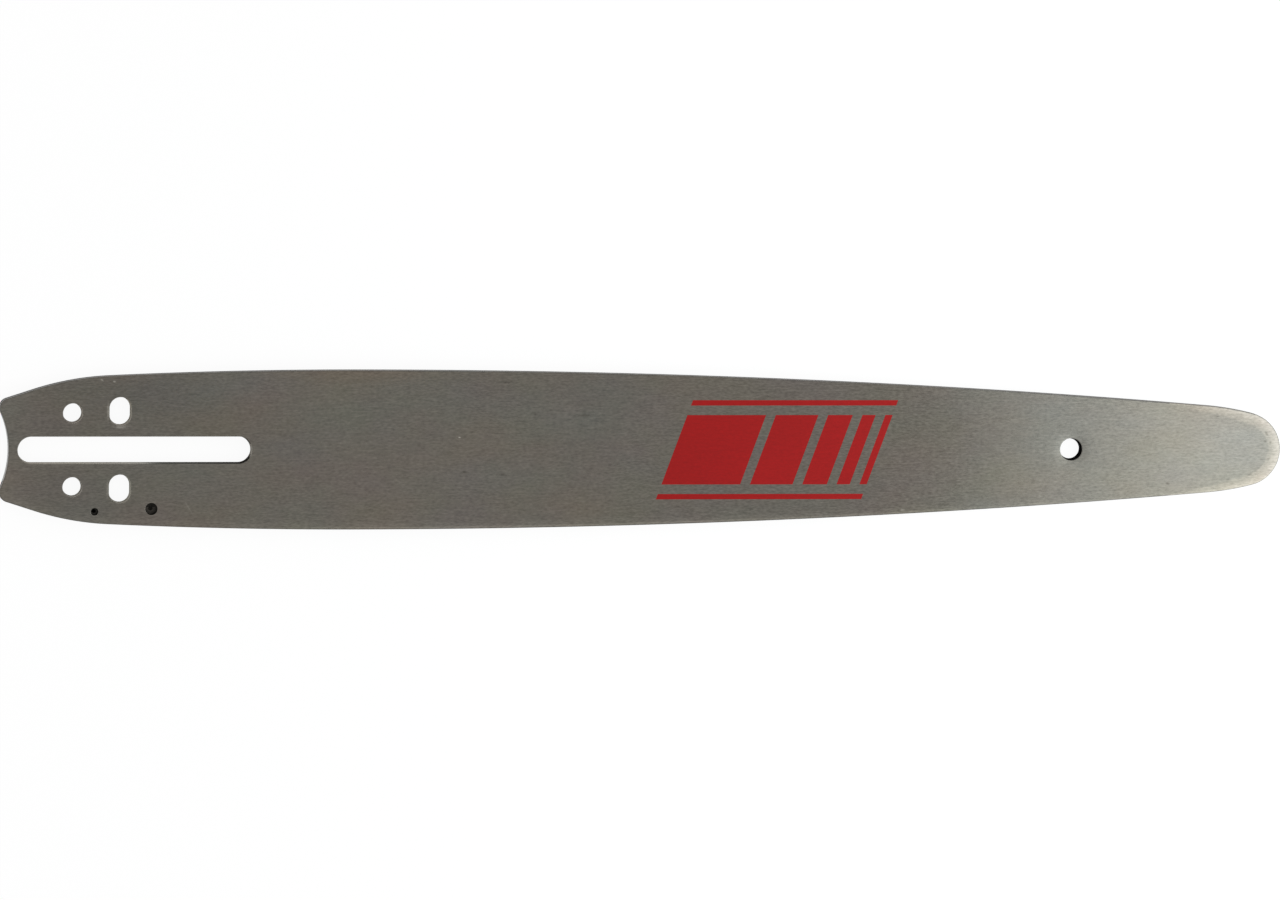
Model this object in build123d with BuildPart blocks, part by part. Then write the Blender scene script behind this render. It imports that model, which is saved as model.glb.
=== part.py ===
from build123d import *

import math
import os

# Solid hard-nosed chainsaw guide bar, lying flat. X runs from the tail to the nose, Y across the bar
# and Z out of its upper face. The origin is the middle of the stud slot, on the lower face.

# Blank: one steel plate with a small chamfer along its edges
bar_length = 390.0
bar_half_width = 24.0
bar_thickness = 4.0
edge_chamfer = 0.3

# Outline: the tip arc runs into a shoulder arc, then a long belly on each side of the widest station,
# then an entry arc and a straight entry that ends at the rounded corner of the hollow tail
nose_radius = 11.15
nose_wrap = 75.7
shoulder_radius = 85.0
widest_from_tail = 106.3
rear_belly_radius = 1565.0
entry_from_tail = 32.8
entry_radius = 86.0
entry_angle = 17.9
tail_corner_radius = 3.0
tail_hollow_radius = 27.5

# Chain groove, milled into the edge at the middle of the thickness and open at both tail corners
groove_width = 1.3
groove_depth = 5.5

# Stud slot that the clamp studs pass through, with the web that is left behind it
slot_start_from_tail = 5.45
slot_length = 70.6
slot_width = 8.2

# Round and oval holes for the pin of a chain tensioner, one of each on both sides of the slot
pin_hole_diameter = 6.0
pin_hole_from_tail = 22.0
pin_hole_pitch = 22.2
oval_width = 6.65
oval_length = 8.65
oval_from_tail = 36.3
oval_pitch = 23.3

# Blind oil holes, a feed hole and a smaller bleed hole drilled from each face into the groove.
# The point of the drill marks the far wall of the groove.
feed_diameter = 3.6
feed_from_tail = 45.8
feed_from_edge = 5.15
bleed_diameter = 2.2
bleed_from_tail = 28.7
bleed_from_edge = 3.5
drill_point_angle = 118.0
drill_overrun = 0.35

# Hanging hole near the nose
hang_hole_diameter = 6.75
hang_hole_from_tip = 64.4

# Every hole is deburred where it meets a face
hole_chamfer = 0.25

# Hard alloy welded round the nose: deepest at the tip, and feathered out along the flanks
facing_reach = 34.4
facing_tip_depth = 3.5
facing_side_depth = 2.65
facing_end_depth = 0.5
facing_inner_wrap = 72.0

# Cutting shapes run past the bar by this much
cut_margin = 10.0


def polar(centre, radius, degrees):
    """The point of a circle at an angle that is counted from +X."""
    angle = math.radians(degrees)
    return (centre[0] + radius * math.cos(angle), centre[1] + radius * math.sin(angle))


def heading(start, end):
    """The direction from one point to another, in degrees from +X."""
    return math.degrees(math.atan2(end[1] - start[1], end[0] - start[0]))


# Arcs of the upper edge. Each lies inside the next larger one where they touch, so both centres and
# the touching point are in line. The front belly is the arc that is level at the widest station and
# touches the shoulder.
tail_x = -slot_start_from_tail - slot_length / 2
tip_x = tail_x + bar_length
widest_x = tail_x + widest_from_tail
nose_centre = (tip_x - nose_radius, 0.0)
shoulder_centre = polar(nose_centre, nose_radius - shoulder_radius, nose_wrap)
shoulder_run = shoulder_centre[0] - widest_x
shoulder_drop = bar_half_width - shoulder_centre[1]
front_belly_radius = (shoulder_run**2 + shoulder_drop**2 - shoulder_radius**2) / (
    2 * (shoulder_drop - shoulder_radius)
)
front_belly_centre = (widest_x, bar_half_width - front_belly_radius)
rear_belly_centre = (widest_x, bar_half_width - rear_belly_radius)
shoulder_heading = heading(front_belly_centre, shoulder_centre)
belly_end_heading = 90 + math.degrees(math.asin((widest_from_tail - entry_from_tail) / rear_belly_radius))
entry_centre = polar(rear_belly_centre, rear_belly_radius - entry_radius, belly_end_heading)
entry_heading = 90 + entry_angle


def draw_edge(inset=0.0):
    """Draws the arcs of the upper edge from the tip to the straight entry, moved inwards by inset."""
    CenterArc(nose_centre, nose_radius - inset, 0, nose_wrap)
    CenterArc(shoulder_centre, shoulder_radius - inset, nose_wrap, shoulder_heading - nose_wrap)
    CenterArc(front_belly_centre, front_belly_radius - inset, shoulder_heading, 90 - shoulder_heading)
    CenterArc(rear_belly_centre, rear_belly_radius - inset, 90, belly_end_heading - 90)
    CenterArc(entry_centre, entry_radius - inset, belly_end_heading, entry_heading - belly_end_heading)


def entry_y(x, inset=0.0):
    """Height at x of the straight entry, moved inwards by inset."""
    start = polar(entry_centre, entry_radius - inset, entry_heading)
    return start[1] - (start[0] - x) * math.tan(math.radians(entry_angle))


def half_width(x):
    """Half width of the bar at x, anywhere from its entry arc to its shoulder."""
    if x < tail_x + entry_from_tail:
        centre, radius = entry_centre, entry_radius
    elif x < widest_x:
        centre, radius = rear_belly_centre, rear_belly_radius
    elif x < polar(shoulder_centre, shoulder_radius, shoulder_heading)[0]:
        centre, radius = front_belly_centre, front_belly_radius
    else:
        centre, radius = shoulder_centre, shoulder_radius
    return centre[1] + math.sqrt(radius**2 - (x - centre[0]) ** 2)


# Outline of the blank. The corner of the tail touches the straight entry and the hollow.
corner_x = tail_x + tail_corner_radius
corner_centre = (corner_x, entry_y(corner_x, tail_corner_radius))
hollow_reach = tail_hollow_radius + tail_corner_radius
hollow_centre = (corner_x - math.sqrt(hollow_reach**2 - corner_centre[1] ** 2), 0.0)
hollow_heading = heading(hollow_centre, corner_centre)

with BuildSketch() as outline:
    with BuildLine():
        draw_edge()
        Line(
            polar(entry_centre, entry_radius, entry_heading),
            polar(corner_centre, tail_corner_radius, entry_heading),
        )
        CenterArc(corner_centre, tail_corner_radius, entry_heading, hollow_heading + 180 - entry_heading)
        CenterArc(hollow_centre, tail_hollow_radius, hollow_heading, -hollow_heading)
        mirror(about=Plane.XZ)
    make_face()

# Groove: all that lies outside its floor, which follows the edge and runs out past the tail
rail_thickness = (bar_thickness - groove_width) / 2
floor_end = (tail_x - cut_margin, entry_y(tail_x - cut_margin, groove_depth))

with BuildSketch(Plane.XY.offset(rail_thickness)) as groove:
    Rectangle(2 * (bar_length + cut_margin), 2 * (bar_half_width + cut_margin))
    with BuildLine():
        draw_edge(groove_depth)
        Line(polar(entry_centre, entry_radius - groove_depth, entry_heading), floor_end)
        Line(floor_end, (floor_end[0], 0))
        mirror(about=Plane.XZ)
    make_face(mode=Mode.SUBTRACT)

with BuildPart() as blank:
    extrude(outline.sketch, amount=bar_thickness)
    chamfer(blank.faces().filter_by(Axis.Z).edges(), length=edge_chamfer)
    extrude(groove.sketch, amount=groove_width, mode=Mode.SUBTRACT)

# Zone of the hard alloy, outside a tip arc and two flank arcs that touch it
facing_inner_radius = nose_radius - facing_side_depth
facing_centre = (tip_x - facing_tip_depth - facing_inner_radius, 0.0)
flank_start = polar(facing_centre, facing_inner_radius, facing_inner_wrap)
flank_end_x = tip_x - facing_reach
flank_end = (flank_end_x, half_width(flank_end_x) - facing_end_depth)
zone_top = bar_half_width + cut_margin
zone_front = tip_x + cut_margin

with BuildSketch() as facing_zone:
    with BuildLine():
        CenterArc(facing_centre, facing_inner_radius, 0, facing_inner_wrap)
        TangentArc(flank_start, flank_end, tangent=polar((0, 0), 1, facing_inner_wrap + 90))
        Polyline(flank_end, (flank_end_x, zone_top), (zone_front, zone_top), (zone_front, 0))
        mirror(about=Plane.XZ)
    make_face()

# Holes that go through the bar
pin_hole_x = tail_x + pin_hole_from_tail
oval_x = tail_x + oval_from_tail
with BuildSketch() as through_holes:
    SlotOverall(slot_length, slot_width)
    with Locations((pin_hole_x, pin_hole_pitch / 2), (pin_hole_x, -pin_hole_pitch / 2)):
        Circle(pin_hole_diameter / 2)
    with Locations((oval_x, oval_pitch / 2), (oval_x, -oval_pitch / 2)):
        SlotOverall(oval_length, oval_width, rotation=90)
    with Locations((tip_x - hang_hole_from_tip, 0)):
        Circle(hang_hole_diameter / 2)


def drill_oil_hole(face, diameter, from_tail, from_edge):
    """Drills a blind hole with a pointed floor through one rail and across the groove."""
    x = tail_x + from_tail
    y = from_edge - half_width(x)
    point = diameter / 2 / math.tan(math.radians(drill_point_angle / 2))
    depth = rail_thickness + groove_width + drill_overrun - point
    with Locations(face):
        with Locations((x, y)):
            Hole(diameter / 2, depth)
        with Locations((x, y, -depth)):
            Cone(0, diameter / 2, point, align=(Align.CENTER, Align.CENTER, Align.MAX), mode=Mode.SUBTRACT)


# Body of the bar. Turned over about its long axis, it is the same bar again.
upper_face = Plane((0, 0, bar_thickness))
lower_face = Plane.XY.rotated((180, 0, 0))

with BuildPart() as bar_body:
    add(blank.part)
    extrude(through_holes.sketch, amount=bar_thickness, mode=Mode.SUBTRACT)
    for face in (upper_face, lower_face):
        drill_oil_hole(face, feed_diameter, feed_from_tail, feed_from_edge)
        drill_oil_hole(face, bleed_diameter, bleed_from_tail, bleed_from_edge)
    flats = bar_body.faces().filter_by(Axis.Z).group_by(Axis.Z)
    rims = [wire.edges() for flat in (flats[0][0], flats[-1][0]) for wire in flat.inner_wires()]
    chamfer(ShapeList(sum(rims, [])), length=hole_chamfer)
    extrude(facing_zone.sketch, amount=bar_thickness, mode=Mode.SUBTRACT)

# Hard alloy: the groove parts it into one strip on each rail
with BuildPart() as nose_facing_lower:
    extrude(facing_zone.sketch, amount=bar_thickness / 2)
    add(blank.part, mode=Mode.INTERSECT)

with BuildPart() as nose_facing_upper:
    with BuildSketch(Plane.XY.offset(bar_thickness / 2)):
        add(facing_zone.sketch)
    extrude(amount=bar_thickness / 2)
    add(blank.part, mode=Mode.INTERSECT)

os.makedirs("parts", exist_ok=True)
bar_body.part.label = "bar_body"
export_step(bar_body.part, "parts/bar_body.step")
nose_facing_lower.part.label = "nose_facing_lower"
export_step(nose_facing_lower.part, "parts/nose_facing_lower.step")
nose_facing_upper.part.label = "nose_facing_upper"
export_step(nose_facing_upper.part, "parts/nose_facing_upper.step")
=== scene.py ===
import math

import bmesh
import bpy
import numpy as np
from mathutils import Matrix, Vector


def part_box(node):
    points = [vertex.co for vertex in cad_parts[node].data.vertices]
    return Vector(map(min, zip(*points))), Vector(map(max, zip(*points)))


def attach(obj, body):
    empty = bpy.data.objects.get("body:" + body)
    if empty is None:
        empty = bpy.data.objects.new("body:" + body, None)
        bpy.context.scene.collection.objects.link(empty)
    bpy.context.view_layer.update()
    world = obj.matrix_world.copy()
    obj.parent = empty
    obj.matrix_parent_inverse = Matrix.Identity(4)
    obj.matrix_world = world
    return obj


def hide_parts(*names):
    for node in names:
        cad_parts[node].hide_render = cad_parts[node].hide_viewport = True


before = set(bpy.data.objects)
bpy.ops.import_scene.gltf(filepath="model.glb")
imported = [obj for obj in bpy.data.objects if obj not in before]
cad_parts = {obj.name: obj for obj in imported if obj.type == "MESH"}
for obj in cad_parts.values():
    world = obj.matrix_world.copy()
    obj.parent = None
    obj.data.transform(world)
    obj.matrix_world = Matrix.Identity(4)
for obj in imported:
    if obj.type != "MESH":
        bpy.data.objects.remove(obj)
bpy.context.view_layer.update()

# Bar body: one blank of tool steel, belt-ground along its length to a grey satin and left bare.
# The chain groove is milled into its edge, the slot and the large holes are punched and deburred,
# and the oil holes are drilled from each face into the groove.
tail_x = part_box("bar_body")[0].x
tip_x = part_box("nose_facing_upper")[1].x
bar_half_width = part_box("bar_body")[1].y
bar_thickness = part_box("bar_body")[1].z
edge_round = 0.0003

# Sizes of the outline, from the nose to the hollow tail
nose_radius = 0.01115
nose_wrap = math.radians(75.7)
shoulder_radius = 0.085
widest_x = tail_x + 0.1063
rear_belly_radius = 1.565
entry_x = tail_x + 0.0328
entry_radius = 0.086
entry_heading = math.radians(90 + 17.9)
corner_radius = 0.003
hollow_radius = 0.0275

# Sizes of the groove and of the holes, with the places of the holes as x + iy
groove_width = 0.0013
groove_depth = 0.0055
groove_lip = 0.0001
groove_run_out = 0.01
slot_length = 0.0706
slot_width = 0.0082
pin_hole_diameter = 0.006
pin_hole_place = tail_x + 0.022 + 0.0111j
oval_width = 0.00665
oval_length = 0.00865
oval_place = tail_x + 0.0363 + 0.01165j
hang_hole_diameter = 0.00675
hang_hole_place = tip_x - 0.0644
feed_diameter = 0.0036
feed_x = tail_x + 0.0458
feed_from_edge = 0.00515
bleed_diameter = 0.0022
bleed_x = tail_x + 0.0287
bleed_from_edge = 0.0035
oil_hole_sides = 72
drill_half_point = math.radians(118 / 2)
drill_overrun = 0.00035
chisel_share = 0.05

# Rims of the holes, the taper that punching leaves, and the dish round the hanging hole
hole_round = 0.00015
punch_taper = 0.0002
hang_hole_taper = 0.00035
hang_hole_round = 0.00009
dish_reach = 0.007
dish_depth = 0.00013
dish_ring_reach = 0.0021
dish_ring_depth = 0.00005
dish_start = 0.145
dish_steps = 14
dish_lift = 2e-6

# How far cutters run past the bar, and how far a chord may leave its arc
cut_margin = 0.002
sagitta = 1e-6


def polar(centre, radius, angle):
    """Point x + iy of a circle at an angle from +X."""
    return centre + radius * np.exp(1j * angle)


def along_arcs(arcs):
    """Points x + iy along arcs that follow each other, and the outward direction at each. An arc is
    (centre, radius, first angle, last angle), its radius negative where the edge is hollow. The chords
    between the points stay within one sagitta of the arc."""
    points = []
    outward = []
    for centre, radius, first, last in arcs:
        step = 2 * math.sqrt(2 * sagitta / abs(radius))
        angle = np.linspace(first, last, math.ceil(abs(last - first) / step) + 1)[bool(points) :]
        points.append(polar(centre, abs(radius), angle))
        outward.append(np.sign(radius) * np.exp(1j * angle))
    return np.concatenate(points), np.concatenate(outward)


def close_by_mirror(upper):
    """Closed loop from its upper half, which starts and ends on the X axis."""
    return np.concatenate([upper, upper[-2:0:-1].conj()])


def carry_profile(points, outward, profile):
    """Rings of a profile carried along a line. Ring p, place k is points[k], moved inwards by the first
    number of profile[p] and raised to its second one."""
    inset, height = np.array(profile).T[:, :, None]
    plan = points - inset * outward
    return np.stack([plan.real, plan.imag, np.broadcast_to(height, plan.shape)], axis=-1)


def skin_tubes(name, tubes, materials):
    """Closed mesh over tubes, each an array (ring, place, xyz). Four-sided faces join a ring to the next,
    and one face closes each end. The faces above ring b have the material materials[b], and a list that is
    too short starts again."""
    corners = []
    faces = []
    shades = []
    palette = list(dict.fromkeys(materials))
    for rings in tubes:
        count, size = rings.shape[:2]
        index = sum(map(len, corners)) + np.arange(count * size).reshape(count, size)
        ahead = np.roll(index, -1, axis=1)
        quads = np.stack([index[:-1], ahead[:-1], ahead[1:], index[1:]], axis=-1).reshape(-1, 4)
        faces += [*quads.tolist(), index[0, ::-1].tolist(), index[-1].tolist()]
        bands = [palette.index(materials[band % len(materials)]) for band in range(count - 1)]
        shades += [*np.repeat(bands, size).tolist(), bands[0], bands[-1]]
        corners.append(rings.reshape(-1, 3))
    mesh = bpy.data.meshes.new(name)
    mesh.from_pydata(np.concatenate(corners).tolist(), [], faces)
    for material in palette:
        mesh.materials.append(material)
    mesh.polygons.foreach_set("material_index", shades)
    whole = bmesh.new()
    whole.from_mesh(mesh)
    bmesh.ops.recalc_face_normals(whole, faces=whole.faces)
    whole.to_mesh(mesh)
    whole.free()
    made = bpy.data.objects.new(name, mesh)
    bpy.context.scene.collection.objects.link(made)
    return made


def cut(piece, cutter, operation="DIFFERENCE"):
    """Cuts piece by a closed cutter. The cut faces take the cutter's materials, and the cutter goes."""
    change = piece.modifiers.new("cut", "BOOLEAN")
    change.object = cutter
    change.operation = operation
    change.solver = "MANIFOLD"
    change.material_mode = "TRANSFER"
    graph = bpy.context.evaluated_depsgraph_get()
    result = bpy.data.meshes.new_from_object(piece.evaluated_get(graph), depsgraph=graph)
    piece.modifiers.clear()
    piece.data = result
    bpy.data.objects.remove(cutter)


def shade_edges(piece, crease=math.radians(40), upright=0.99999):
    """Smooth shading on the rounded edges, with the flat faces and the creases between walls kept crisp. A
    face is flat where the Z of its normal is over upright."""
    mesh = piece.data
    mesh.set_sharp_from_angle(angle=crease)
    normals = np.empty(len(mesh.polygons) * 3)
    mesh.polygons.foreach_get("normal", normals)
    level = np.abs(normals.reshape(-1, 3)[:, 2]) > upright
    crisp = mesh.attributes.get("sharp_face") or mesh.attributes.new("sharp_face", "BOOLEAN", "FACE")
    crisp.data.foreach_set("value", level)


# Blank. Each arc of its edge touches the next one, so both centres and the touching point are in line.
nose_centre = tip_x - nose_radius + 0j
shoulder_centre = polar(nose_centre, nose_radius - shoulder_radius, nose_wrap)
shoulder_run = shoulder_centre.real - widest_x
shoulder_drop = bar_half_width - shoulder_centre.imag
front_belly_radius = (shoulder_run**2 + shoulder_drop**2 - shoulder_radius**2) / (
    2 * (shoulder_drop - shoulder_radius)
)
front_belly_centre = widest_x + 1j * (bar_half_width - front_belly_radius)
rear_belly_centre = widest_x + 1j * (bar_half_width - rear_belly_radius)
shoulder_heading = np.angle(shoulder_centre - front_belly_centre)
belly_end_heading = math.pi / 2 + math.asin((widest_x - entry_x) / rear_belly_radius)
entry_centre = polar(rear_belly_centre, rear_belly_radius - entry_radius, belly_end_heading)
entry_slope = math.tan(entry_heading - math.pi / 2)
corner_line = polar(entry_centre, entry_radius - corner_radius, entry_heading)
corner_x = tail_x + corner_radius
corner_centre = corner_x + 1j * (corner_line.imag - (corner_line.real - corner_x) * entry_slope)
hollow_centre = corner_x - math.sqrt((hollow_radius + corner_radius) ** 2 - corner_centre.imag**2)
hollow_heading = np.angle(corner_centre - hollow_centre)
rail_arcs = [
    (nose_centre, nose_radius, 0, nose_wrap),
    (shoulder_centre, shoulder_radius, nose_wrap, shoulder_heading),
    (front_belly_centre, front_belly_radius, shoulder_heading, math.pi / 2),
    (rear_belly_centre, rear_belly_radius, math.pi / 2, belly_end_heading),
    (entry_centre, entry_radius, belly_end_heading, entry_heading),
]
tail_arcs = [
    (corner_centre, corner_radius, entry_heading, hollow_heading + math.pi),
    (hollow_centre, -hollow_radius, hollow_heading, 0),
]
rail, rail_outward = along_arcs(rail_arcs)
edge, edge_outward = along_arcs(rail_arcs + tail_arcs)

# Weld line of the nose facing, from a tip arc and a flank arc that touches it. The ground faces need it
# too, because the alloy is fused into the steel there.
facing_reach = 0.0344
facing_tip_depth = 0.0035
facing_side_depth = 0.00265
facing_end_depth = 0.0005
facing_inner_wrap = math.radians(72)
facing_inner_radius = nose_radius - facing_side_depth
facing_centre = tip_x - facing_tip_depth - facing_inner_radius + 0j
flank_start = polar(facing_centre, facing_inner_radius, facing_inner_wrap)
flank_end_x = tip_x - facing_reach
flank_end = flank_end_x + 1j * (np.interp(-flank_end_x, -rail.real, rail.imag) - facing_end_depth)
inwards = -np.exp(1j * facing_inner_wrap)
flank_chord = flank_end - flank_start
flank_radius = abs(flank_chord) ** 2 / (2 * (flank_chord * np.conj(inwards)).real)
flank_centre = flank_start + flank_radius * inwards

# Finish of the bar. The grain is short streaks along X from the grinding belt, with slow drifts of tone
# and colour across it. Marks are soft frayed ovals.
noise_spread = 7.0
streak_spread = 0.085
shade_spread = 0.017
warmth_spread = 0.024
green_spread = 0.02


def add_node(tree, kind, inputs=None, **settings):
    """Adds a shader node. Inputs go by socket name or number, and each is a value or a feeding socket."""
    made = tree.nodes.new(kind)
    for name, value in settings.items():
        setattr(made, name, value)
    for socket, value in (inputs or {}).items():
        if isinstance(value, bpy.types.NodeSocket):
            tree.links.new(value, made.inputs[socket])
        else:
            made.inputs[socket].default_value = value
    return made


def calculate(tree, operation, *terms):
    """Output of a Math node on one to three terms, each a number or a socket."""
    return add_node(tree, "ShaderNodeMath", dict(enumerate(terms)), operation=operation).outputs[0]


def choose(tree, test, first, second):
    """Output of a Mix node: the first value where test is 0, and the second where it is 1."""
    return add_node(tree, "ShaderNodeMix", {0: test, 2: first, 3: second}).outputs[0]


def blend_colours(tree, share, first, second, method="MIX"):
    """Output of a colour Mix node: first where share is 0, and second mixed in where it is 1."""
    inputs = {0: share, 6: first, 7: second}
    return add_node(tree, "ShaderNodeMix", inputs, data_type="RGBA", blend_type=method).outputs[2]


def ramp(tree, value, low, high, first=0.0, last=1.0, course="SMOOTHSTEP"):
    """Output of a step of value: first at low, last at high, and smooth or linear between them."""
    inputs = {"Value": value, "From Min": low, "From Max": high, "To Min": first, "To Max": last}
    return add_node(tree, "ShaderNodeMapRange", inputs, interpolation_type=course).outputs[0]


def screen_colour(red, green, blue):
    """Linear colour of an 8-bit screen colour, by the sRGB curve."""
    share = np.array([red, green, blue]) / 255
    linear = np.where(share <= 0.04045, share / 12.92, ((share + 0.055) / 1.055) ** 2.4)
    return (*linear.tolist(), 1.0)


def new_group(name, inputs, outputs):
    """Empty node group with named sockets. Returns it with its input node and its output node."""
    group = bpy.data.node_groups.new(name, "ShaderNodeTree")
    for socket, kind in inputs.items():
        group.interface.new_socket(socket, in_out="INPUT", socket_type=kind)
    for socket in outputs:
        group.interface.new_socket(socket, in_out="OUTPUT", socket_type="NodeSocketFloat")
    return group, group.nodes.new("NodeGroupInput"), group.nodes.new("NodeGroupOutput")


def object_place(tree):
    """Socket of the place on the bar, in metres in the shared frame."""
    return add_node(tree, "ShaderNodeTexCoord").outputs["Object"]


def stretched_noise(tree, per_metre, detail, offset=0.0):
    """Noise about 0 with a spread of about 1, and with this many cells to the metre in X, Y and Z."""
    inputs = {0: object_place(tree), 1: per_metre, 2: (offset, offset, offset)}
    scaled = add_node(tree, "ShaderNodeVectorMath", inputs, operation="MULTIPLY_ADD")
    inputs = {"Vector": scaled.outputs[0], "Scale": 1.0, "Detail": detail, "Roughness": 0.5}
    noise = add_node(tree, "ShaderNodeTexNoise", inputs).outputs["Fac"]
    return calculate(tree, "MULTIPLY_ADD", noise, noise_spread, -noise_spread / 2)


def outside_circle(tree, place, centre, radius):
    """How far a place lies outside a circle about x + iy, and below 0 inside it."""
    inputs = {0: place, 1: (centre.real, centre.imag, 0)}
    distance = add_node(tree, "ShaderNodeVectorMath", inputs, operation="DISTANCE").outputs["Value"]
    return calculate(tree, "SUBTRACT", distance, radius)


def make_grain_group():
    """Belt grain: short and long streaks along X, and slow drifts of shade, warmth and green. The drift to
    green is weaker towards the nose. Each noise has its cells to the metre, its detail and its offset."""
    short_streaks = ((880, 2700, 2700), 0.5)
    long_streaks = ((220, 1600, 1600), 0.5, 31.7)
    long_share = 0.5
    drifts = {
        "Shade": ((45, 60, 60), 3.0, 5.1),
        "Warmth": ((28, 55, 55), 3.0, 26.7),
        "Green": ((38, 55, 55), 3.0, 105.8),
    }
    group, _, out = new_group("belt_grain", {}, ["Streak", *drifts])
    short = stretched_noise(group, *short_streaks)
    long = stretched_noise(group, *long_streaks)
    group.links.new(calculate(group, "MULTIPLY_ADD", long, long_share, short), out.inputs["Streak"])
    x = add_node(group, "ShaderNodeSeparateXYZ", {0: object_place(group)}).outputs["X"]
    shares = {"Shade": 1.0, "Warmth": 1.0, "Green": ramp(group, x, 0.2, 0.3, 1.0, 0.4)}
    for socket, drift in drifts.items():
        drifted = calculate(group, "MULTIPLY", stretched_noise(group, *drift), shares[socket])
        group.links.new(drifted, out.inputs[socket])
    return group


def make_mark_group():
    """Soft frayed oval: 1 at its place, 0 beyond its reach, turned about Z."""
    fray_share = 0.2
    sockets = {"Place": "NodeSocketVector", "Reach": "NodeSocketVector", "Turn": "NodeSocketFloat"}
    group, given, out = new_group("surface_mark", sockets, ["Mask"])
    turn = add_node(group, "ShaderNodeCombineXYZ", {"Z": given.outputs["Turn"]}).outputs[0]
    sides = {"Location": given.outputs["Place"], "Rotation": turn, "Scale": given.outputs["Reach"]}
    inputs = {"Vector": object_place(group), **sides}
    local = add_node(group, "ShaderNodeMapping", inputs, vector_type="TEXTURE").outputs[0]
    distance = add_node(group, "ShaderNodeVectorMath", {0: local}, operation="LENGTH").outputs["Value"]
    fray = stretched_noise(group, (1600, 2500, 2500), 2.0)
    frayed = calculate(group, "MULTIPLY_ADD", fray, fray_share, distance)
    group.links.new(ramp(group, frayed, 0.0, 1.0, 1.0, 0.0), out.inputs["Mask"])
    return group


def make_zone_group():
    """Zones of the bar, alike on both sides of its long axis: Depth is the way in from its long edges, and
    Alloy is the share of hard alloy. From 0 in the steel it rises by two steps, the toe and the bead of the
    weld, and then evenly to 1 at the rim. Its line is frayed, and its ends on the flanks are feathered."""
    weld_fray = 0.00022
    feather_start = flank_end_x + 0.001
    feather_end = flank_end_x + 0.012
    group, _, out = new_group("bar_zones", {}, ["Depth", "Alloy"])
    sides = add_node(group, "ShaderNodeSeparateXYZ", {0: object_place(group)}).outputs
    x = sides["X"]
    across = calculate(group, "ABSOLUTE", sides["Y"])
    place = add_node(group, "ShaderNodeCombineXYZ", {0: x, 1: across}).outputs[0]
    entry = outside_circle(group, place, entry_centre, entry_radius)
    rear = outside_circle(group, place, rear_belly_centre, rear_belly_radius)
    rear = choose(group, calculate(group, "GREATER_THAN", x, entry_x), entry, rear)
    front = outside_circle(group, place, front_belly_centre, front_belly_radius)
    beyond = choose(group, calculate(group, "GREATER_THAN", x, widest_x), rear, front)
    group.links.new(calculate(group, "MULTIPLY", beyond, -1.0), out.inputs["Depth"])
    flank = outside_circle(group, place, flank_centre, flank_radius)
    tip = outside_circle(group, place, facing_centre, facing_inner_radius)
    weld_line = choose(group, calculate(group, "GREATER_THAN", x, flank_start.real), flank, tip)
    fray = stretched_noise(group, (650, 650, 650), 2.0)
    frayed = calculate(group, "MULTIPLY_ADD", fray, weld_fray, weld_line)
    toe = ramp(group, frayed, -0.0006, 0.0001, 0.0, 0.34)
    bead = ramp(group, frayed, 0.0006, 0.0014, 0.0, 0.27)
    crown = ramp(group, frayed, 0.0013, 0.0027, 0.0, 0.39, "LINEAR")
    fused = calculate(group, "ADD", calculate(group, "ADD", toe, bead), crown)
    feathered = ramp(group, x, feather_start, feather_end)
    group.links.new(calculate(group, "MULTIPLY", fused, feathered), out.inputs["Alloy"])
    return group


grain_group = make_grain_group()
mark_group = make_mark_group()
zone_group = make_zone_group()


def join_marks(tree, marks):
    """Mask of several marks on the upper face, each (x, y, length, width, degrees, strength) with its
    lengths in millimetres. Where marks overlap, the strongest one counts."""
    mark_depth = 0.001
    joint = 0.0
    for x, y, length, width, degrees, strength in marks:
        mark = add_node(tree, "ShaderNodeGroup", node_tree=mark_group)
        mark.inputs["Place"].default_value = (x / 1000, y / 1000, bar_thickness)
        mark.inputs["Reach"].default_value = (length / 2000, width / 2000, mark_depth)
        mark.inputs["Turn"].default_value = math.radians(degrees)
        mask = calculate(tree, "MULTIPLY", mark.outputs["Mask"], strength)
        joint = calculate(tree, "MAXIMUM", mask, joint)
    return joint


def new_material(name, metallic, roughness, specular=0.5):
    """New material. Returns it with its node tree and its shader."""
    material = bpy.data.materials.new(name)
    material.use_nodes = True
    shader = material.node_tree.nodes["Principled BSDF"]
    shader.inputs["Metallic"].default_value = metallic
    shader.inputs["Roughness"].default_value = roughness
    shader.inputs["Specular IOR Level"].default_value = specular
    return material, material.node_tree, shader


def grained_colour(tree, grain, colour, streaks=streak_spread):
    """Colour that the grain makes lighter and darker, and lets drift to red, blue and green."""
    streak = calculate(tree, "MULTIPLY_ADD", grain.outputs["Streak"], streaks, 1.0)
    level = calculate(tree, "MULTIPLY_ADD", grain.outputs["Shade"], shade_spread, streak)
    warmth = calculate(tree, "MULTIPLY", grain.outputs["Warmth"], warmth_spread)
    green_gain = calculate(tree, "MULTIPLY_ADD", grain.outputs["Green"], green_spread, level)
    purple_gain = calculate(tree, "MULTIPLY_ADD", grain.outputs["Green"], -green_spread / 2, level)
    red_gain = calculate(tree, "ADD", purple_gain, warmth)
    blue_gain = calculate(tree, "SUBTRACT", purple_gain, warmth)
    gains = {"Red": red_gain, "Green": green_gain, "Blue": blue_gain}
    gain = add_node(tree, "ShaderNodeCombineColor", gains).outputs[0]
    return blend_colours(tree, 1.0, colour, gain, "MULTIPLY")


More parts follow.
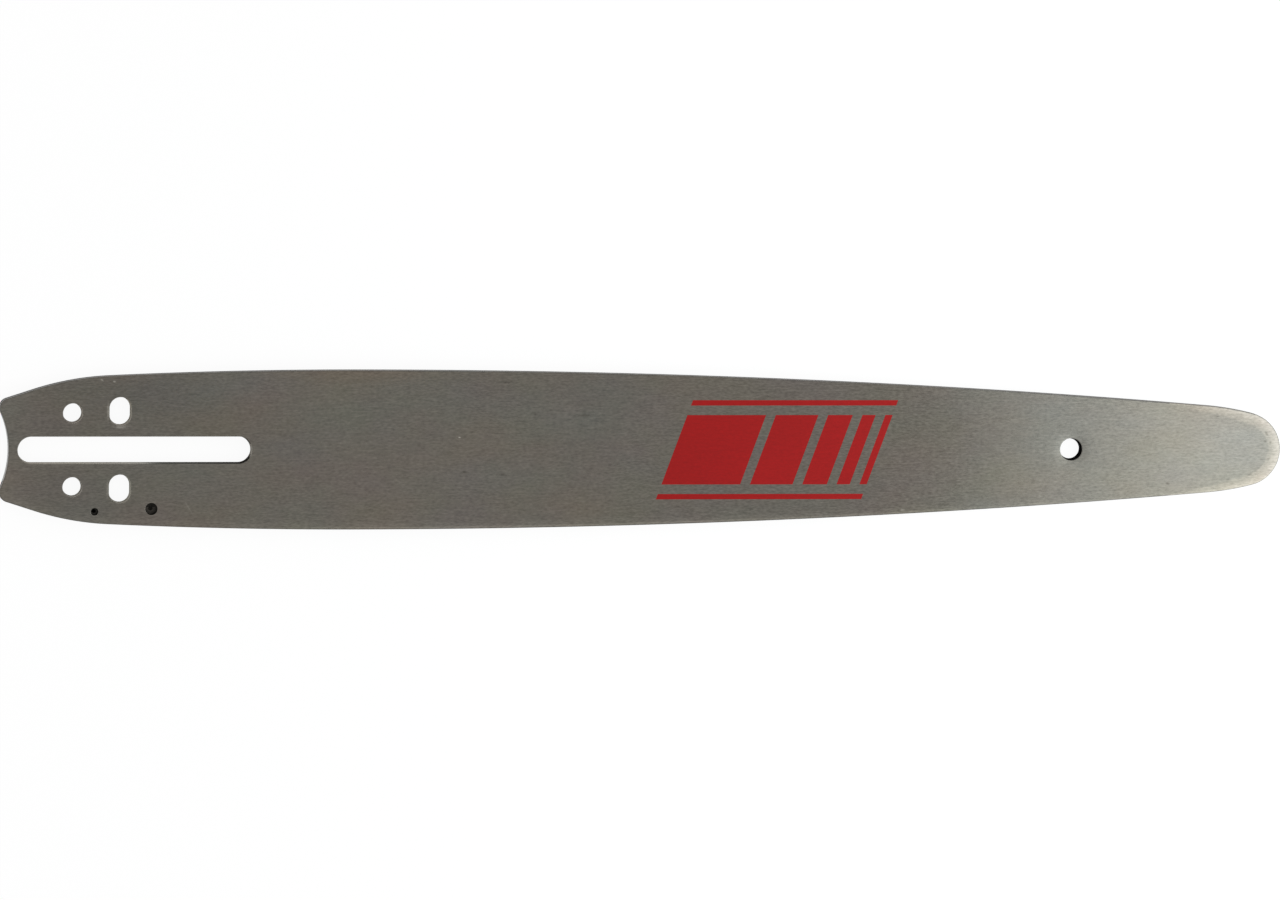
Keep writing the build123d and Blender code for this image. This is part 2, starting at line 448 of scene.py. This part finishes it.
def make_grained(name, colour, metallic, roughness, specular=0.5, streaks=streak_spread):
    """Material of one screen colour with the grain on it."""
    material, tree, shader = new_material(name, metallic, roughness, specular)
    grain = add_node(tree, "ShaderNodeGroup", node_tree=grain_group)
    painted = grained_colour(tree, grain, screen_colour(*colour), streaks)
    tree.links.new(painted, shader.inputs["Base Color"])
    return material


def half_fused(tree, alloy):
    """Mask of the mixed metal in the weld: 1 where it is half alloy, and 0 in pure steel or alloy, worked
    out as four times the share of alloy times the share of steel."""
    steel = calculate(tree, "SUBTRACT", 1.0, alloy)
    mixed = calculate(tree, "MULTIPLY", alloy, steel)
    return calculate(tree, "MULTIPLY", mixed, 4.0)


def tail_level(tree, x):
    """Level of the ground steel along X: lower towards the tail, and up again at its very end."""
    lowered = ramp(tree, x, -0.03, 0.06, 0.91, 1.0)
    raised = ramp(tree, x, -0.038, -0.024, 1.09, 1.0)
    return calculate(tree, "MULTIPLY", lowered, raised)


def nose_edge(tree, x, depth):
    """Mask of the long edges towards the nose."""
    edge_band = ramp(tree, depth, 0.0, 0.008, 1.0, 0.0)
    return calculate(tree, "MULTIPLY", edge_band, ramp(tree, x, 0.24, 0.32))


def lower_edge_highlight(tree, sides, depth):
    """Mask of a painted highlight along the lower edge: a thin line that begins along the slot, in a wider
    faint band. Both fade towards the nose."""
    highlight_line = ramp(tree, depth, 0.0005, 0.0011, 1.0, 0.0)
    highlight_line = calculate(tree, "MULTIPLY", highlight_line, ramp(tree, sides["X"], -0.02, 0.11))
    highlight_band = ramp(tree, depth, 0.0012, 0.0026, 0.2, 0.0)
    highlighted = calculate(tree, "MAXIMUM", highlight_line, highlight_band)
    highlighted = calculate(tree, "MULTIPLY", highlighted, calculate(tree, "LESS_THAN", sides["Y"], 0.0))
    return calculate(tree, "MULTIPLY", highlighted, ramp(tree, sides["X"], 0.2, 0.31, 1.0, 0.2))


def make_ground_steel():
    """Ground faces: grey satin steel with the belt grain, darker towards the tail, with a painted highlight
    along the lower edge. The facing is a paler metal, creamier where it is half fused and pitted along its
    line.
    The upper face has stains, pits and scratches, and painted highlights on the rims beside the ovals."""
    steel = screen_colour(103, 99, 92)
    alloy = screen_colour(131, 124, 116)
    creamy = (1.005, 1.0, 0.98, 1)
    straw = (1.0, 0.995, 0.975, 1)
    # Gain of the painted highlight along the lower edge
    bright = (1.5, 1.5, 1.48, 1)
    brown = (1.04, 0.99, 0.93, 1)
    blue = (0.89, 0.93, 1.0, 1)
    pitted = (0.4, 0.38, 0.36, 1)
    scratch_and_highlight = screen_colour(188, 184, 174)
    roughness = 0.28
    gloss_spread = 0.015
    dark_marks = [
        (112.0, 20.4, 5.0, 1.0, 0, 0.4),
        (120.7, 10.9, 2.4, 1.2, -20, 0.4),
        (135.6, 10.4, 7.0, 1.1, 0, 0.5),
        (99.6, -6.7, 3.0, 1.1, 0, 0.6),
        (111.2, -7.4, 6.5, 1.1, -4, 0.4),
        (164.2, -17.3, 4.2, 1.0, -5, 0.4),
        (169.0, -18.3, 2.6, 1.2, 0, 0.35),
        (174.0, -20.4, 6.5, 1.1, 4, 0.2),
        (187.0, -18.0, 3.0, 0.9, 0, 0.3),
        (246.4, -16.6, 7.0, 1.3, 1, 0.25),
        (314.7, -10.4, 1.8, 1.1, 0, 0.8),
        (325.2, -11.0, 2.0, 0.9, 0, 0.25),
        (329.5, 10.0, 2.4, 1.0, -6, 0.35),
        (333.2, -9.2, 2.2, 1.0, 5, 0.35),
        (340.0, -7.7, 2.0, 1.0, 20, 0.35),
        (345.0, 4.8, 2.0, 1.2, -60, 0.5),
        (344.6, 2.4, 1.8, 1.0, 0, 0.5),
        (346.3, 2.1, 1.0, 1.4, 0, 0.4),
        (343.6, -3.1, 1.6, 1.0, 0, 0.3),
        (345.9, -2.8, 1.7, 0.9, 35, 0.4),
    ]
    scratches_and_highlights = [
        (97.9, 3.8, 0.9, 0.7, 0, 0.65),
        (-10.2, 21.2, 1.6, 0.7, -30, 0.4),
        (-6.4, 20.6, 1.2, 0.7, 0, 0.5),
        (16.2, -17.2, 5.6, 0.6, -58, 0.1),
        (233.2, -18.3, 2.0, 1.0, 0, 0.25),
        # The last three are painted highlights on the rims left of and below the ovals.
        (-8.2, 11.65, 1.1, 7.5, 0, 0.3),
        (-4.45, 6.95, 5.5, 1.2, 0, 0.3),
        (-8.2, -11.65, 1.1, 7.5, 0, 0.2),
    ]
    brown_stains = [(76.0, 23.8, 110.0, 12.0, 0, 1.0)]
    blue_stains = [(4.0, 17.0, 64.0, 18.0, 0, 1.0), (335.0, 0.0, 26.0, 24.0, 0, 0.18)]
    material, tree, shader = new_material("ground_steel", 1.0, roughness)
    grain = add_node(tree, "ShaderNodeGroup", node_tree=grain_group)
    zones = add_node(tree, "ShaderNodeGroup", node_tree=zone_group).outputs
    sides = add_node(tree, "ShaderNodeSeparateXYZ", {0: object_place(tree)}).outputs
    colour = blend_colours(tree, zones["Alloy"], steel, alloy)
    colour = blend_colours(tree, half_fused(tree, zones["Alloy"]), colour, creamy, "MULTIPLY")
    colour = blend_colours(tree, 1.0, colour, tail_level(tree, sides["X"]), "MULTIPLY")
    colour = blend_colours(tree, nose_edge(tree, sides["X"], zones["Depth"]), colour, straw, "MULTIPLY")
    # Painted highlight along the lower edge
    colour = blend_colours(tree, lower_edge_highlight(tree, sides, zones["Depth"]), colour, bright, "MULTIPLY")
    colour = blend_colours(tree, join_marks(tree, brown_stains), colour, brown, "MULTIPLY")
    colour = blend_colours(tree, join_marks(tree, blue_stains), colour, blue, "MULTIPLY")
    colour = grained_colour(tree, grain, colour)
    colour = blend_colours(tree, join_marks(tree, dark_marks), colour, pitted, "MULTIPLY")
    # Scratches, and painted highlights beside the ovals
    colour = blend_colours(tree, join_marks(tree, scratches_and_highlights), colour, scratch_and_highlight)
    tree.links.new(colour, shader.inputs["Base Color"])
    gloss = calculate(tree, "MULTIPLY_ADD", grain.outputs["Streak"], gloss_spread, roughness)
    tree.links.new(gloss, shader.inputs["Roughness"])
    relief = {"Strength": 0.08, "Distance": 1e-5, "Height": grain.outputs["Streak"]}
    tree.links.new(add_node(tree, "ShaderNodeBump", relief).outputs[0], shader.inputs["Normal"])
    return material


def make_punched_steel():
    """Walls of the punched holes: torn matt steel with painted light and shade. The walls towards the tail
    are painted light, a painted highlight. The slot is dull and darker along its front half, a painted
    shade, and is painted light again at its front end. The hanging hole is painted black, a painted shadow."""
    lit_wall = screen_colour(161, 156, 147)
    dull = screen_colour(84, 82, 76)
    shadowed_wall = screen_colour(16, 15, 14)
    slot_end = slot_length / 2
    material, tree, shader = new_material("punched_steel", 0.0, 0.7, specular=0.0)
    grain = add_node(tree, "ShaderNodeGroup", node_tree=grain_group)
    x = add_node(tree, "ShaderNodeSeparateXYZ", {0: object_place(tree)}).outputs["X"]
    # Painted highlight on the walls towards the tail, going over to a painted shadow along the front half of
    # the slot and in the hanging hole
    colour = blend_colours(tree, ramp(tree, x, 0.001, 0.009), lit_wall, dull)
    colour = blend_colours(tree, ramp(tree, x, 0.012, 0.045), colour, shadowed_wall)
    # Painted highlight at the front end of the slot
    lit_slot_end = ramp(tree, x, slot_end - 0.001, slot_end - 0.0001)
    lit_slot_end = calculate(tree, "MULTIPLY", lit_slot_end, ramp(tree, x, 0.05, 0.1, 1.0, 0.0))
    colour = blend_colours(tree, lit_slot_end, colour, lit_wall)
    tree.links.new(grained_colour(tree, grain, colour), shader.inputs["Base Color"])
    return material


ground_steel = make_ground_steel()
rail_steel = make_grained("rail_steel", (95, 92, 86), 1.0, 0.3)
milled_steel = make_grained("milled_groove_steel", (62, 60, 56), 1.0, 0.45)
punched_steel = make_punched_steel()
# Near black inside the oil holes: painted shade.
bore_shade_steel = make_grained("bore_shade_steel", (20, 19, 18), 0.0, 0.6, specular=0.0)
drilled_steel = make_grained("drilled_steel", (46, 45, 42), 0.0, 0.6, specular=0.0)
# Rims of the holes, painted a little lighter than the faces: a painted highlight.
rim_highlight_steel = make_grained("rim_highlight_steel", (108, 104, 97), 1.0, 0.3)

# Plate: the section of its rounded edge, carried round the outline. The two faces that close it are ground.
round_angle = np.linspace(0, math.pi / 2, 6)
lower_round = edge_round * np.stack([1 - np.sin(round_angle), 1 - np.cos(round_angle)], axis=-1)
upper_round = (0, bar_thickness) + lower_round[::-1] * (1, -1)
edge_profile = np.concatenate([lower_round, upper_round])
edge_rings = carry_profile(close_by_mirror(edge), close_by_mirror(edge_outward), edge_profile)
bar = skin_tubes("guide_bar", [edge_rings], [rail_steel])
bar.data.materials.append(ground_steel)
bar.data.polygons[-1].material_index = 1
bar.data.polygons[-2].material_index = 1

# Groove: a band round the edge that runs out straight past both corners of the tail.
groove_low = (bar_thickness - groove_width) / 2
groove_high = groove_low + groove_width
groove_flare = groove_lip + cut_margin
groove_section = [
    (groove_depth, groove_low),
    (groove_lip, groove_low),
    (-cut_margin, groove_low - groove_flare),
    (-cut_margin, groove_high + groove_flare),
    (groove_lip, groove_high),
    (groove_depth, groove_high),
]
run_out = rail[-1] + 1j * rail_outward[-1] * (rail[-1].real - tail_x + groove_run_out)
groove_path = np.append(rail, run_out)
groove_outward = np.append(rail_outward, rail_outward[-1])
groove_path = np.concatenate([groove_path[:0:-1].conj(), groove_path])
groove_outward = np.concatenate([groove_outward[:0:-1].conj(), groove_outward])
groove_rings = carry_profile(groove_path, groove_outward, groove_section).swapaxes(0, 1)
cut(bar, skin_tubes("groove_cutter", [groove_rings], [milled_steel]))
grooved_blank = bar.data.copy()

# Holes. A punched hole flares to each face where it is deburred, by an inset and a height in parts of its
# rounding, and it is a little narrower at the lower face. The upper face is dished round the hanging hole:
# its dip falls with the cube of the way that is left to the end of the dish, and a smooth step deepens it
# close to the rim. The rings of the dish lie closer together there, and the last one is just above the face.
rim_shape = np.array([(-3.25, -1.0), (-0.55, 0.2), (-0.2, 0.55), (0.0, 1.0)])
rim_flare = hole_round * rim_shape
# The flares of the rims take the painted highlight.
flare_steel = [rim_highlight_steel] * (len(rim_shape) - 1)
upper_rim = (0, bar_thickness) + rim_flare[::-1] * (1, -1)
through_profile = np.concatenate([(punch_taper, 0) + rim_flare, upper_rim])
dish_way = dish_reach * np.linspace(dish_start, 1, dish_steps) ** 2
ring_share = np.minimum(dish_way / dish_ring_reach, 1)
dish_dip = dish_depth * (1 - dish_way / dish_reach) ** 3
dish_dip += dish_ring_depth * (1 - ring_share**2 * (3 - 2 * ring_share))
dish = np.stack([-dish_way, bar_thickness - dish_dip], axis=-1)
dish[-1] += (0, dish_lift)
dish_floor = bar_thickness - dish_depth - dish_ring_depth
dished_rim = (0, dish_floor) + hang_hole_round * rim_shape[:0:-1] * (1, -1)
hang_hole_profile = np.concatenate([(hang_hole_taper, 0) + rim_flare, dished_rim, dish])


def round_loop(centre, width, length=None, direction=1.0, count=120):
    """Circle of that width, or slot of that length whose two ends move apart along direction."""
    outward = np.exp(2j * math.pi * (np.arange(count) + 0.5) / count)
    apart = ((length or width) - width) / 2 * direction
    return centre + outward * width / 2 + apart * np.sign((outward * np.conj(direction)).real), outward


through_loops = [
    round_loop(0, slot_width, slot_length),
    round_loop(pin_hole_place, pin_hole_diameter),
    round_loop(np.conj(pin_hole_place), pin_hole_diameter),
    round_loop(oval_place, oval_width, oval_length, 1j),
    round_loop(np.conj(oval_place), oval_width, oval_length, 1j),
]
through_tubes = [carry_profile(*loop, through_profile) for loop in through_loops]
cut(bar, skin_tubes("hole_cutter", through_tubes, flare_steel + [punched_steel] + flare_steel))
hang_hole_tube = carry_profile(*round_loop(hang_hole_place, hang_hole_diameter), hang_hole_profile)
hang_hole_materials = flare_steel + [punched_steel] + flare_steel + [ground_steel] * (len(dish) - 1)
cut(bar, skin_tubes("hang_hole_cutter", [hang_hole_tube], hang_hole_materials))

# Oil holes: one of each kind from each face, ending in the cone that the point of the drill leaves.
oil_holes = {
    "feed": (feed_diameter, feed_x, feed_from_edge, drilled_steel),
    "bleed": (bleed_diameter, bleed_x, bleed_from_edge, bore_shade_steel),
}
oil_hole_depth = groove_high + drill_overrun
for name, (diameter, x, from_edge, floor_steel) in oil_holes.items():
    cone_start = oil_hole_depth - diameter / 2 / math.tan(drill_half_point)
    chisel = chisel_share * diameter
    upwards = np.concatenate([rim_flare, [(0, cone_start), (diameter / 2 - chisel, oil_hole_depth)]])
    downwards = (0, bar_thickness) + upwards * (1, -1)
    place = x + 1j * (np.interp(-x, -rail.real, rail.imag) - from_edge)
    oil_tubes = [
        carry_profile(*round_loop(place, diameter, count=oil_hole_sides), upwards),
        carry_profile(*round_loop(np.conj(place), diameter, count=oil_hole_sides), downwards),
    ]
    cut(bar, skin_tubes(f"{name}_cutter", oil_tubes, flare_steel + [bore_shade_steel, floor_steel]))

# Nose facing: hard alloy welded round the nose on both rails and ground flush with the faces, so that
# it shows as a pale band. Two ripples along the weld, a long one and a short one, let its inner edge waver.
weld_waver = 0.0001
long_ripple = 0.00055
short_ripple = 0.00023
short_ripple_share = 0.7
short_ripple_phase = 1.0

weld, weld_outward = along_arcs(
    [
        (facing_centre, facing_inner_radius, 0, facing_inner_wrap),
        (flank_centre, flank_radius, facing_inner_wrap, np.angle(flank_end - flank_centre)),
    ]
)
weld = np.concatenate([weld[:0:-1].conj(), weld])
weld_outward = np.concatenate([weld_outward[:0:-1].conj(), weld_outward])
weld_run = np.append(0, np.cumsum(np.abs(np.diff(weld))))
waver = np.sin(weld_run / long_ripple)
waver += short_ripple_share * np.sin(weld_run / short_ripple + short_ripple_phase)
weld = weld + weld_waver * waver * weld_outward
zone_out = tip_x + cut_margin + 1j * (bar_half_width + cut_margin)
zone_corner = flank_end_x + 1j * zone_out.imag
facing_zone = np.concatenate([weld, [zone_corner, zone_out], np.conj([zone_out, zone_corner])])
no_inset = np.zeros_like(facing_zone)


def facing_zone_cutter(name, low, high):
    """Closed solid over the welded zone, from one height to another."""
    rings = carry_profile(facing_zone, no_inset, [(0, low), (0, high)])
    return skin_tubes(name, [rings], [milled_steel])


cut(bar, facing_zone_cutter("zone_cutter", -cut_margin, bar_thickness + cut_margin))
shade_edges(bar)
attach(bar, "root")
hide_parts("bar_body")

facing_alloy = make_grained("nose_facing_alloy", (124, 119, 110), 1.0, 0.3)
middle = bar_thickness / 2
facing_levels = {"lower": (-cut_margin, middle), "upper": (middle, bar_thickness + cut_margin)}
for side, (low, high) in facing_levels.items():
    facing = bpy.data.objects.new(f"{side}_nose_weld", grooved_blank.copy())
    bpy.context.scene.collection.objects.link(facing)
    cut(facing, facing_zone_cutter("zone_cutter", low, high), "INTERSECT")
    shade_edges(facing)
    facing.data.materials[facing.data.materials.find(rail_steel.name)] = facing_alloy
    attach(facing, "root")
    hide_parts(f"nose_facing_{side}")

# Print: slanted bars that grow narrower towards the nose, between two thin lines. It is a film of satin
# red ink, screen-printed on the upper face.
print_start = 0.1595
print_slant = math.tan(math.radians(20))
block_widths = np.array([0.024, 0.013, 0.0075, 0.004, 0.0022])
block_gap = 0.003
block_half_height = 0.0105
line_place = 0.0142
line_height = 0.0016
ink_sunk = 1e-5
ink_proud = 1.5e-5

red_ink = make_grained("red_ink", (135, 15, 15), 0.0, 0.45, specular=0.12, streaks=0.04)


def slanted_tube(left, right, low, high):
    """Closed film over a slanted block. Its ends cross Y 0 at left and right, and lean towards +X."""
    corner_y = np.array([low, low, high, high])
    corner_x = np.array([left, right, right, left]) + corner_y * print_slant
    height = bar_thickness + np.array([[-ink_sunk], [ink_proud]])
    return np.stack(np.broadcast_arrays(corner_x, corner_y, height), axis=-1)


block_run = np.append(0, np.cumsum(block_widths + block_gap))
block_left = print_start + block_half_height * print_slant + block_run
film = [
    slanted_tube(left, left + width, -block_half_height, block_half_height)
    for left, width in zip(block_left[:-1], block_widths)
]
for y in (-line_place, line_place):
    ends = (block_left[0], block_left[-1] - block_gap)
    film.append(slanted_tube(*ends, y - line_height / 2, y + line_height / 2))
red_print = skin_tubes("red_print", film, [red_ink])
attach(red_print, "root")

# Studio: a pale floor, a plain bright room, a soft key light at the lower right of the picture, and a cool
# white panel close over the nose, dimmer along its edge towards the tail, which the satin steel reflects
# as a slow brightening.
floor_reach = 8.0
floor_gap = 0.0001
floor_glow = 0.92
room_strength = 0.95
panel_height = 0.1646
panel_start = 0.2891
panel_depth = 0.5
panel_colour = (0.85, 0.945, 0.98)


def add_softbox(name, place, target, size, radiance, colour=(1, 1, 1)):
    """Rectangular lamp at place that faces target. Its power follows from its area and radiance."""
    lamp = bpy.data.lights.new(name, "AREA")
    lamp.shape = "RECTANGLE"
    lamp.size, lamp.size_y = size
    lamp.energy = radiance * math.pi * size[0] * size[1]
    lamp.color = colour
    holder = bpy.data.objects.new(name, lamp)
    holder.location = place
    holder.rotation_euler = (Vector(target) - Vector(place)).to_track_quat("-Z", "Y").to_euler()
    bpy.context.scene.collection.objects.link(holder)


floor_mesh = bpy.data.meshes.new("floor")
floor_corners = floor_reach * np.array([(-1, -1, 0), (1, -1, 0), (1, 1, 0), (-1, 1, 0)])
floor_corners -= (0, 0, floor_gap)
floor_mesh.from_pydata(floor_corners.tolist(), [], [(0, 1, 2, 3)])
floor = bpy.data.objects.new("floor", floor_mesh)
bpy.context.scene.collection.objects.link(floor)
floor_material, tree, shader = new_material("pale_floor", 0.0, 0.9)
shader.inputs["Base Color"].default_value = (0.9, 0.9, 0.9, 1)
path = add_node(tree, "ShaderNodeLightPath").outputs
seen = calculate(tree, "MAXIMUM", path["Is Camera Ray"], path["Is Glossy Ray"])
seen = calculate(tree, "MAXIMUM", seen, path["Is Transmission Ray"])
white = add_node(tree, "ShaderNodeEmission", {"Color": (1, 1, 1, 1), "Strength": 1.0})
mixing = {0: calculate(tree, "MULTIPLY", seen, floor_glow), 1: shader.outputs[0], 2: white.outputs[0]}
mixed = add_node(tree, "ShaderNodeMixShader", mixing)
tree.links.new(mixed.outputs[0], tree.nodes["Material Output"].inputs["Surface"])
floor_mesh.materials.append(floor_material)

room = bpy.data.worlds.new("room")
bpy.context.scene.world = room
room.use_nodes = True
background = room.node_tree.nodes["Background"]
background.inputs["Color"].default_value = (1, 1, 1, 1)
background.inputs["Strength"].default_value = room_strength

add_softbox("key_light", (1.1, -0.9, 1.3), target=(0.15, 0, 0), size=(0.7, 0.7), radiance=2.0)
for name, width, radiance in (("panel_edge", 0.0508, 1.15), ("nose_panel", 0.4, 2.75)):
    panel_middle = panel_start + width / 2
    place = (panel_middle, 0, panel_height)
    add_softbox(name, place, (panel_middle, 0, 0), (width, panel_depth), radiance, panel_colour)
    panel_start += width

# Camera: a long lens almost four metres above the bar, standing a few degrees towards the tail and the
# upper edge, so that the far walls of the holes just show.
aim = Vector((0.15283, -0.00005, bar_thickness))
camera_distance = 3.74
towards_tail = math.radians(8.5)
towards_upper_edge = math.radians(5.5)
camera_roll = -0.00095
picture_width = 0.38561
back = Vector((-math.tan(towards_tail), math.tan(towards_upper_edge), 1)).normalized()
right = (Vector((1, 0, 0)) - back.x * back).normalized()
right = (Matrix.Rotation(camera_roll, 3, back) @ right).normalized()
up = back.cross(right)
camera_data = bpy.data.cameras.new("camera")
camera_data.sensor_width = 36
camera_data.lens = camera_data.sensor_width * camera_distance / picture_width
camera = bpy.data.objects.new("camera", camera_data)
turned = Matrix((right, up, back)).transposed().to_4x4()
camera.matrix_world = Matrix.Translation(aim + back * camera_distance) @ turned
bpy.context.scene.collection.objects.link(camera)
bpy.context.scene.camera = camera
bpy.context.scene.view_settings.view_transform = "Standard"
